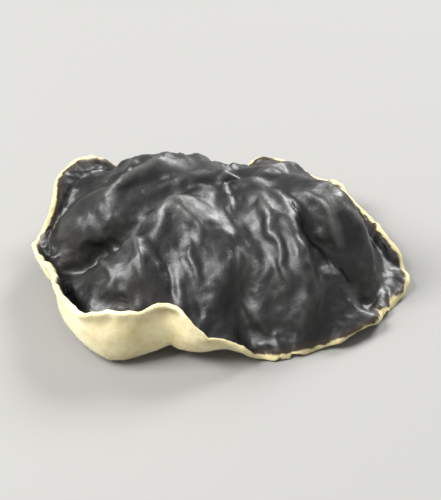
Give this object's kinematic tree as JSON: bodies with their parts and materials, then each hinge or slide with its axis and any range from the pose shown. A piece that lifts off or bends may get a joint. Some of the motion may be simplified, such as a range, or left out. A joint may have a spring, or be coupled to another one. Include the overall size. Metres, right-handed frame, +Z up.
{
  "type": "dried wood ear mushroom",
  "caption": "Dried wood ear fungus lying crown up: a thin leathery sheet crumpled into a pleated, hollow cap, near black above, with a turned-up edge that shows its pale velvety back.",
  "frame": {"origin": "on the table, under the middle of the box around the piece", "axes": "+X along its longest side, +Y away from the turned-up pale edge, +Z up out of the crown"},
  "size_m": [0.0648, 0.0516, 0.0202],
  "materials": {
    "dried_fungus": "dried gelatinous flesh: satin, near black and finely wrinkled on the upper skin, matt, pale cream and velvety on the back and edge"
  },
  "bodies": {
    "root": {"wood_ear": "dried_fungus"}
  },
  "joints": []
}
